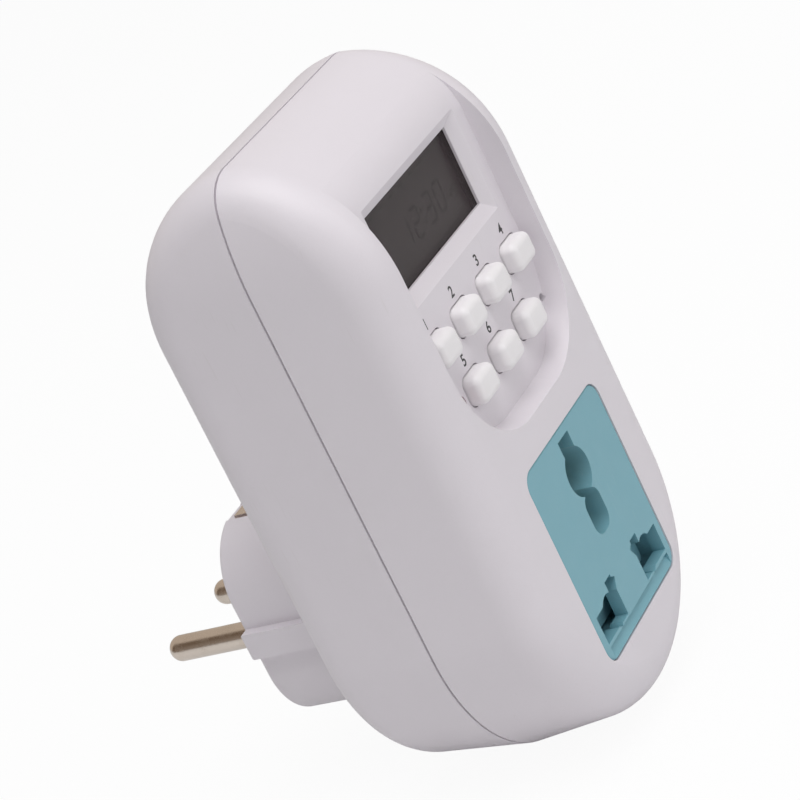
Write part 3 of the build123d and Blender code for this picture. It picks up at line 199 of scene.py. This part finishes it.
def make_drawn_metal():
    """Metal with fine lines along one direction, plating clouds and tarnish in patches."""
    nodes, way_in, way_out = effect(
        "drawn_metal",
        {"Colour": rgba((0.7, 0.7, 0.7)), "Tarnish": rgba((0.3, 0.25, 0.2)), "Tarnish Amount": 0.2,
         "Line Size mm": 0.08, "Across": 1.0, "Roughness": 0.25, "Roughness Spread": 0.15},
        {"Colour": rgba((0.7, 0.7, 0.7)), "Roughness": 0.25, "Height": 0.5})
    place = nodes.place()
    stretch = nodes.add("ShaderNodeCombineXYZ", {"X": 1.0, "Y": way_in["Across"], "Z": 1.0})
    along = nodes.add("ShaderNodeVectorMath", {0: place, 1: stretch.outputs[0]},
                      operation="MULTIPLY").outputs[0]
    density = nodes.math("DIVIDE", PER_METRE, way_in["Line Size mm"])
    lines = nodes.noise(along, density, detail=2.0)
    clouds = nodes.noise(place, PLATING_CLOUD_SCALE, detail=4.0, roughness=0.6)
    patches = nodes.spread(clouds, 0.48, 0.72)
    nodes.feed(nodes.blend(nodes.math("MULTIPLY", patches, way_in["Tarnish Amount"]),
                           way_in["Colour"], way_in["Tarnish"]), way_out["Colour"])
    swing = nodes.math("MULTIPLY", nodes.math("ADD", nodes.spread(lines, 0.3, 0.7, -0.5, 0.5),
                                              patches), way_in["Roughness Spread"])
    nodes.feed(nodes.math("ADD", way_in["Roughness"], swing, clamp=True), way_out["Roughness"])
    nodes.feed(lines, way_out["Height"])
    return nodes.tree


mould_grain = make_mould_grain()
handling_marks = make_handling()
drawn_metal = make_drawn_metal()


# ------------------------------------------------------------------ finishes
def finish(name, **shader):
    """New material with a Principled shader; shader sets its own sockets."""
    material = bpy.data.materials.new(name)
    material.use_nodes = True
    nodes = Nodes(material.node_tree)
    surface = material.node_tree.nodes["Principled BSDF"]
    for label, value in shader.items():
        surface.inputs[label.replace("_", " ")].default_value = value
    return material, nodes, surface


def relief(nodes, surface, height, depth_mm):
    bump = nodes.add("ShaderNodeBump", {"Height": height, "Distance": depth_mm * MM,
                                        "Strength": 1.0})
    nodes.feed(bump.outputs[0], surface.inputs["Normal"])


def plastic(name, colour, roughness, grain_mm=0.3, grain_depth_mm=0.01, flow=0.03, marks=0.25,
            mark_colour=(0.5, 0.47, 0.43), **shader):
    """Moulded plastic in one colour."""
    material, nodes, surface = finish(name, **shader)
    grain = nodes.group(mould_grain, {"Colour": rgba(colour), "Grain Size mm": grain_mm,
                                      "Flow": flow, "Roughness": roughness})
    used = nodes.group(handling_marks,
                       {"Colour": grain["Colour"], "Roughness": grain["Roughness"],
                        "Amount": marks, "Mark Colour": rgba(mark_colour)})
    nodes.feed(used["Colour"], surface.inputs["Base Color"])
    nodes.feed(used["Roughness"], surface.inputs["Roughness"])
    relief(nodes, surface, grain["Height"], grain_depth_mm)
    return material


def metal(name, colour, tarnish, tarnish_amount=0.2, roughness=0.25, line_mm=0.08, across=1.0,
          depth_mm=0.002, **shader):
    """Plated or drawn metal."""
    material, nodes, surface = finish(name, Metallic=1.0, **shader)
    drawn = nodes.group(drawn_metal,
                        {"Colour": rgba(colour), "Tarnish": rgba(tarnish),
                         "Tarnish Amount": tarnish_amount, "Line Size mm": line_mm,
                         "Across": across, "Roughness": roughness})
    nodes.feed(drawn["Colour"], surface.inputs["Base Color"])
    nodes.feed(drawn["Roughness"], surface.inputs["Roughness"])
    relief(nodes, surface, drawn["Height"], depth_mm)
    return material


def board_laminate():
    """Solder-masked laminate: tracks under a green mask, with a fine glass weave."""
    material, nodes, surface = finish("circuit_board", Coat_Weight=0.3, Coat_Roughness=0.15)
    place = nodes.place()
    parts = nodes.add("ShaderNodeSeparateXYZ", {"Vector": place}).outputs
    flat = nodes.add("ShaderNodeCombineXYZ", {"X": parts["X"], "Y": parts["Z"]}).outputs[0]
    cells = nodes.add("ShaderNodeTexVoronoi",
                      {"Vector": flat, "Scale": LAMINATE_TRACK_SCALE, "Randomness": 0.55},
                      feature="DISTANCE_TO_EDGE", distance="EUCLIDEAN").outputs["Distance"]
    track = nodes.spread(cells, 0.09, 0.12)
    weave = nodes.noise(flat, LAMINATE_WEAVE_SCALE, detail=1.0)
    copper = nodes.blend(track, rgba((0.03, 0.14, 0.05)), rgba((0.06, 0.25, 0.09)))
    colour = nodes.blend(nodes.math("MULTIPLY", weave, 0.25), copper, rgba((0.04, 0.12, 0.05)))
    nodes.feed(colour, surface.inputs["Base Color"])
    nodes.feed(nodes.spread(weave, 0.3, 0.7, 0.28, 0.42), surface.inputs["Roughness"])
    relief(nodes, surface, track, 0.03)
    return material


def wound_wire():
    """Enamelled copper wire wound about the coil's own axis, with painted shade in the grooves
    between turns.
    """
    material, nodes, surface = finish("copper_winding", Metallic=1.0, Coat_Weight=0.5)
    place = nodes.place()
    turn_bands_and_groove_shade = nodes.add("ShaderNodeTexWave",
                      {"Vector": place, "Scale": WIRE_TURN_SCALE, "Distortion": 0.6,
                       "Detail": 1.0}, bands_direction="Y").outputs["Fac"]
    # Painted shade: the copper colour darkens down in the grooves between turns, where the bump is
    # lowest.
    colour = nodes.blend(turn_bands_and_groove_shade, rgba((0.20, 0.06, 0.02)), rgba((0.72, 0.30, 0.13)))
    nodes.feed(colour, surface.inputs["Base Color"])
    nodes.feed(nodes.spread(turn_bands_and_groove_shade, 0.0, 1.0, 0.5, 0.25), surface.inputs["Roughness"])
    relief(nodes, surface, turn_bands_and_groove_shade, 0.06)
    return material


def display_cell():
    """Reflective display glass: grey polariser with a faint cloud and dot of its cell."""
    material, nodes, surface = finish("display_glass", Coat_Weight=0.25, Coat_Roughness=0.12)
    place = nodes.place()
    cloud = nodes.noise(place, DISPLAY_CLOUD_SCALE, detail=3.0)
    film = nodes.noise(place, DISPLAY_FILM_SCALE, detail=1.0)
    tone = nodes.math("ADD", nodes.math("MULTIPLY", cloud, 0.6), nodes.math("MULTIPLY", film, 0.4))
    nodes.feed(nodes.blend(tone, rgba((0.20, 0.166, 0.168)), rgba((0.24, 0.205, 0.206))),
               surface.inputs["Base Color"])
    nodes.feed(nodes.spread(film, 0.3, 0.7, 0.32, 0.42), surface.inputs["Roughness"])
    return material


def smoked_window():
    """Smoked clear plastic: dark, glossy and seen through, with dust and hairlines."""
    material, nodes, surface = finish("window_plastic", IOR=1.49)
    used = nodes.group(handling_marks,
                       {"Colour": rgba((0.040, 0.026, 0.028)), "Roughness": 0.1, "Amount": 0.5,
                        "Mark Colour": rgba((0.25, 0.23, 0.22))})
    place = nodes.place()
    specks = nodes.spread(nodes.noise(place, DUST_SCALE, detail=2.0), 0.70, 0.78)
    nodes.feed(nodes.blend(nodes.math("MULTIPLY", specks, 0.35), used["Colour"],
                           rgba((0.4, 0.39, 0.38))), surface.inputs["Base Color"])
    nodes.feed(used["Roughness"], surface.inputs["Roughness"])
    nodes.feed(nodes.spread(specks, 0.0, 1.0, 0.50, 0.60), surface.inputs["Alpha"])
    return material


PLASTICS = {
    "case_plastic": dict(colour=(0.738, 0.697, 0.740), roughness=0.42, grain_mm=0.35,
                         grain_depth_mm=0.008, flow=0.035, Specular_IOR_Level=0.45),
    "key_plastic": dict(colour=(0.86, 0.835, 0.85), roughness=0.48, grain_mm=0.25,
                        grain_depth_mm=0.006, marks=0.35),
    "insert_plastic": dict(colour=(0.200, 0.425, 0.500), roughness=0.46, grain_depth_mm=0.008,
                           flow=0.06, marks=0.3, mark_colour=(0.5, 0.6, 0.62)),
    "shutter_plastic": dict(colour=(0.185, 0.39, 0.46), roughness=0.42, flow=0.05, marks=0.35,
                            mark_colour=(0.45, 0.55, 0.57)),
    "carrier_plastic": dict(colour=(0.70, 0.67, 0.60), roughness=0.5, flow=0.06),
    "black_plastic": dict(colour=(0.022, 0.022, 0.024), roughness=0.45, flow=0.2,
                          mark_colour=(0.12, 0.12, 0.12)),
    "relay_plastic": dict(colour=(0.05, 0.12, 0.38), roughness=0.3, flow=0.1),
    "capacitor_yellow": dict(colour=(0.72, 0.48, 0.05), roughness=0.4, flow=0.12),
    "capacitor_sleeve": dict(colour=(0.02, 0.03, 0.11), roughness=0.25, flow=0.2,
                             mark_colour=(0.2, 0.2, 0.25)),
    "varistor_blue": dict(colour=(0.02, 0.12, 0.38), roughness=0.25, grain_mm=1.5,
                          grain_depth_mm=0.05, flow=0.2),
    "resistor_grey": dict(colour=(0.22, 0.30, 0.34), roughness=0.55, grain_mm=0.2, flow=0.2),
    "silicone": dict(colour=(0.22, 0.23, 0.25), roughness=0.62, grain_mm=0.5, flow=0.1),
    "led_lens": dict(colour=(0.42, 0.02, 0.015), roughness=0.12, grain_mm=0.8,
                     grain_depth_mm=0.002, Coat_Weight=0.6, Coat_Roughness=0.05),
}
METALS = {
    "nickel_brass": dict(colour=(0.70, 0.62, 0.55), tarnish=(0.42, 0.35, 0.27),
                         tarnish_amount=0.25, roughness=0.2, line_mm=0.15, across=6.0,
                         depth_mm=0.003),
    "bright_metal": dict(colour=(0.72, 0.72, 0.71), tarnish=(0.4, 0.38, 0.35)),
    "zinc_steel": dict(colour=(0.62, 0.63, 0.65), tarnish=(0.35, 0.34, 0.30),
                       tarnish_amount=0.35, roughness=0.32),
    "spring_steel": dict(colour=(0.55, 0.56, 0.58), tarnish=(0.25, 0.2, 0.16),
                         tarnish_amount=0.3, roughness=0.28, line_mm=0.03),
    "brass_parts": dict(colour=(0.80, 0.58, 0.24), tarnish=(0.36, 0.2, 0.08),
                        tarnish_amount=0.35, roughness=0.3, line_mm=0.12),
}
finishes = {name: plastic(name, **look) for name, look in PLASTICS.items()}
finishes["window_plastic"] = smoked_window()
finishes["display_glass"] = display_cell()
finishes["circuit_board"] = board_laminate()
finishes["copper_winding"] = wound_wire()
finishes.update({name: metal(name, **look) for name, look in METALS.items()})
slot_of_node = {part["node"]: part["material_slot"] for part in frame["record"]["subparts"]}
for node_name, solid in frame["nodes"].items():
    solid.data.materials.clear()
    solid.data.materials.append(finishes[slot_of_node[node_name]])


# ------------------------------------------------------------------ added pieces
scene = bpy.context.scene


def mesh_object(name, build, material):
    """Object in the scene whose mesh the build function makes in bmesh."""
    mesh = bpy.data.meshes.new(name)
    shape = bmesh.new()
    build(shape)
    shape.to_mesh(mesh)
    shape.free()
    mesh.materials.append(material)
    piece = bpy.data.objects.new(name, mesh)
    scene.collection.objects.link(piece)
    return piece


def prism(shape, outline, y_front, y_back):
    """Closed prism along Y over an outline of (x, z) points, all in metres."""
    front = [shape.verts.new((x, y_front, z)) for x, z in outline]
    back = [shape.verts.new((x, y_back, z)) for x, z in outline]
    shape.faces.new(front)
    shape.faces.new(reversed(back))
    count = len(outline)
    for k in range(count):
        after = (k + 1) % count
        shape.faces.new((front[k], back[k], back[after], front[after]))


# Lit segments of the digits shown: a is the top bar, then clockwise to f, and g is the middle.
SEGMENTS = {0: "abcdef", 1: "bc", 2: "abged", 3: "abgcd", 4: "fgbc", 5: "afgcd"}


def segment_outline(letter, width, height, bar):
    """Six-sided outline of one segment in a cell of width by height, with its middle at 0."""
    half_w, half_h, gap = width / 2, height / 2, bar * 0.12
    level = {"a": half_h, "g": 0.0, "d": -half_h}
    if letter in level:
        z, reach = level[letter], half_w - bar / 2 - gap
        return [(-reach - bar / 2, z), (-reach, z + bar / 2), (reach, z + bar / 2),
                (reach + bar / 2, z), (reach, z - bar / 2), (-reach, z - bar / 2)]
    x = half_w if letter in "bc" else -half_w
    low, high = (0.0, half_h) if letter in "bf" else (-half_h, 0.0)
    low, high = low + bar / 2 + gap, high - bar / 2 - gap
    return [(x, low - bar / 2), (x + bar / 2, low), (x + bar / 2, high), (x, high + bar / 2),
            (x - bar / 2, high), (x - bar / 2, low)]


# Display layout in millimetres; heights are from the middle of the glass.
CRYSTAL_THICKNESS = 0.03
DIGIT_LEAN = 0.10                       # sideways shift per height
TIME_Z = -1.5
TIME_DIGIT = (2.6, 4.9, 0.6)            # width, height, bar
TIME_DIGITS = ((1, -4.6), (2, -0.2), (3, 5.3), (0, 9.7))
COLON_X = 2.5
COLON_DOTS_Z = (-1.2, 0.9)              # from the middle of the time
COLON_DOT = (0.6, 0.6)
SECONDS_Z = -1.5                        # from the middle of the time
SECONDS_DIGIT = (1.1, 1.9, 0.28)
SECONDS_DIGITS = ((4, 12.9), (5, 14.9))
DAYS = 7
DAY_MARK = (1.4, 0.4)
DAY_Z = 5.3
FIRST_DAY_X = -12.6
DAY_PITCH = 4.2


def display_marks(shape):
    """Time, seconds and a row of seven day marks, as dark segments on the glass."""
    glass_low, glass_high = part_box("display_glass")
    y_back = glass_low.y
    y_front = y_back - CRYSTAL_THICKNESS * MM
    middle_z = (glass_low.z + glass_high.z) / 2

    def lay(outline, x, z):
        prism(shape, [(x * MM + (px + DIGIT_LEAN * pz) * MM, middle_z + (z + pz) * MM)
                      for px, pz in outline], y_front, y_back)

    def mark(size, x, z):
        half_w, half_h = size[0] / 2, size[1] / 2
        lay([(-half_w, -half_h), (half_w, -half_h), (half_w, half_h), (-half_w, half_h)], x, z)

    def digits(values, z, size):
        for value, x in values:
            for letter in SEGMENTS[value]:
                lay(segment_outline(letter, *size), x, z)

    digits(TIME_DIGITS, TIME_Z, TIME_DIGIT)
    for dot_z in COLON_DOTS_Z:
        mark(COLON_DOT, COLON_X, TIME_Z + dot_z)
    digits(SECONDS_DIGITS, TIME_Z + SECONDS_Z, SECONDS_DIGIT)
    for day in range(DAYS):
        mark(DAY_MARK, FIRST_DAY_X + DAY_PITCH * day, DAY_Z)
    bmesh.ops.recalc_face_normals(shape, faces=shape.faces)


ink_dark = plastic("ink_dark", (0.045, 0.042, 0.045), 0.55, grain_mm=0.15, grain_depth_mm=0.002,
                   flow=0.3, marks=0.1)
crystal_dark = plastic("crystal_dark", (0.07, 0.058, 0.058), 0.35, grain_mm=0.2,
                       grain_depth_mm=0.001, flow=0.1, marks=0.0)
segments = mesh_object("display_segments", display_marks, crystal_dark)
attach(segments, "housing")

# Plain numbers printed above the keys.
KEYS = ["program_button", "weekday_button", "hour_button", "minute_button",
        "mode_button", "clock_button", "recall_button"]
PANEL_Y = -64.7             # floor of the recess, in millimetres
NUMBER_SIZE = 2.8
NUMBER_RELIEF = 0.015
NUMBER_BOLDNESS = 0.045
NUMBER_ABOVE_KEY = 1.25
for number, key in enumerate(KEYS, start=1):
    key_low, key_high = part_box(key)
    letters = bpy.data.curves.new(f"key_number_{number}", "FONT")
    letters.body = str(number)
    letters.size = NUMBER_SIZE * MM
    letters.extrude = NUMBER_RELIEF * MM
    letters.offset = NUMBER_BOLDNESS * MM
    letters.align_x = "CENTER"
    letters.align_y = "CENTER"
    words = bpy.data.objects.new(f"key_number_{number}", letters)
    scene.collection.objects.link(words)
    words.matrix_world = (Matrix.Translation(((key_low.x + key_high.x) / 2, PANEL_Y * MM,
                                              key_high.z + NUMBER_ABOVE_KEY * MM))
                          @ Matrix.Rotation(math.radians(90), 4, "X"))
    letters.materials.append(ink_dark)
    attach(words, "housing")

# ------------------------------------------------------------------ studio
scene.view_settings.view_transform = "Standard"

camera_data = bpy.data.cameras.new("camera")
camera_data.sensor_width = 36.0
camera_data.lens = 141.325
camera_data.clip_start = 0.01
camera_data.clip_end = 20.0
camera = bpy.data.objects.new("camera", camera_data)
camera.location = (-0.41844, -0.31978, 0.20619)
camera.rotation_euler = [math.radians(turn) for turn in (68.91155, 24.71673, -65.65093)]
scene.collection.objects.link(camera)
scene.camera = camera


CASE_MIDDLE = Vector((0.0, -0.045, 0.028))


def lamp(name, place, size, watts):
    """Round white area lamp aimed at the middle of the case."""
    light = bpy.data.lights.new(name, "AREA")
    light.shape = "DISK"
    light.size = size
    light.energy = watts
    lit = bpy.data.objects.new(name, light)
    lit.location = place
    direction = CASE_MIDDLE - Vector(place)
    lit.rotation_euler = direction.to_track_quat("-Z", "Y").to_euler()
    scene.collection.objects.link(lit)


lamp("key_light", (0.10, -0.95, 0.55), size=0.8, watts=2.0)
lamp("top_light", (-0.15, -0.25, 1.0), size=0.9, watts=6.8)
lamp("side_light", (-0.95, -0.20, 0.15), size=0.8, watts=0.6)


def empty_nodes(owner):
    """Node tree of a world or material, cleared of its default nodes."""
    owner.use_nodes = True
    for node in list(owner.node_tree.nodes):
        owner.node_tree.nodes.remove(node)
    return Nodes(owner.node_tree)


AMBIENT_STRENGTH = 0.325
FLOOR_GLOW = 0.94           # share of plain white that the camera sees, the rest is lit paper
FLOOR_HALF_SIZE = 4.0
FLOOR_GAP = 0.0002          # below the lowest point of the part

world = bpy.data.worlds.new("studio")
scene.world = world
sky = empty_nodes(world)
seen = sky.add("ShaderNodeLightPath").outputs
plain = sky.add("ShaderNodeBackground", {"Color": PLAIN_WHITE, "Strength": AMBIENT_STRENGTH})
white = sky.add("ShaderNodeBackground", {"Color": PLAIN_WHITE, "Strength": 1.0})
# Glossy rays see a warm room with a dark wall on the -X side, so bright metal has contrast.
# The limits are the X part of the ray's direction.
aim = sky.add("ShaderNodeSeparateXYZ",
              {0: sky.add("ShaderNodeTexCoord").outputs["Generated"]}).outputs["X"]
near_wall = sky.blend(sky.spread(aim, -0.38, -0.20), rgba((0.165, 0.120, 0.085)),
                      rgba((0.56, 0.49, 0.42)))
walls = sky.blend(sky.spread(aim, -0.86, -0.60, 0.75, 0.0), near_wall, rgba((0.35, 0.30, 0.26)))
room = sky.add("ShaderNodeBackground", {"Color": walls, "Strength": 1.0})
mirrored = sky.add("ShaderNodeMixShader",
                   {0: seen["Is Glossy Ray"], 1: plain.outputs[0], 2: room.outputs[0]})
shown = sky.math("MAXIMUM", seen["Is Camera Ray"], seen["Is Transmission Ray"])
mixed = sky.add("ShaderNodeMixShader", {0: shown, 1: mirrored.outputs[0], 2: white.outputs[0]})
sky.add("ShaderNodeOutputWorld", {"Surface": mixed.outputs[0]})

floor_paint = bpy.data.materials.new("floor_paint")
paint = empty_nodes(floor_paint)
floor_seen = paint.add("ShaderNodeLightPath").outputs
speckle = paint.noise(paint.place(), PAPER_SCALE, detail=3.0)
paper = paint.blend(speckle, rgba((0.86, 0.86, 0.86)), rgba((0.88, 0.88, 0.88)))
matt = paint.add("ShaderNodeBsdfDiffuse", {"Color": paper})
glow = paint.add("ShaderNodeEmission", {"Color": PLAIN_WHITE, "Strength": 1.0})
direct = paint.math("MAXIMUM", floor_seen["Is Camera Ray"], floor_seen["Is Transmission Ray"])
share = paint.math("MULTIPLY", direct, FLOOR_GLOW)
both = paint.add("ShaderNodeMixShader", {0: share, 1: matt.outputs[0], 2: glow.outputs[0]})
paint.add("ShaderNodeOutputMaterial", {"Surface": both.outputs[0]})
floor = mesh_object("floor", lambda shape: bmesh.ops.create_grid(
    shape, x_segments=2, y_segments=2, size=FLOOR_HALF_SIZE), floor_paint)
floor.location = (0.0, 0.0, cad_box[0][2] - FLOOR_GAP)
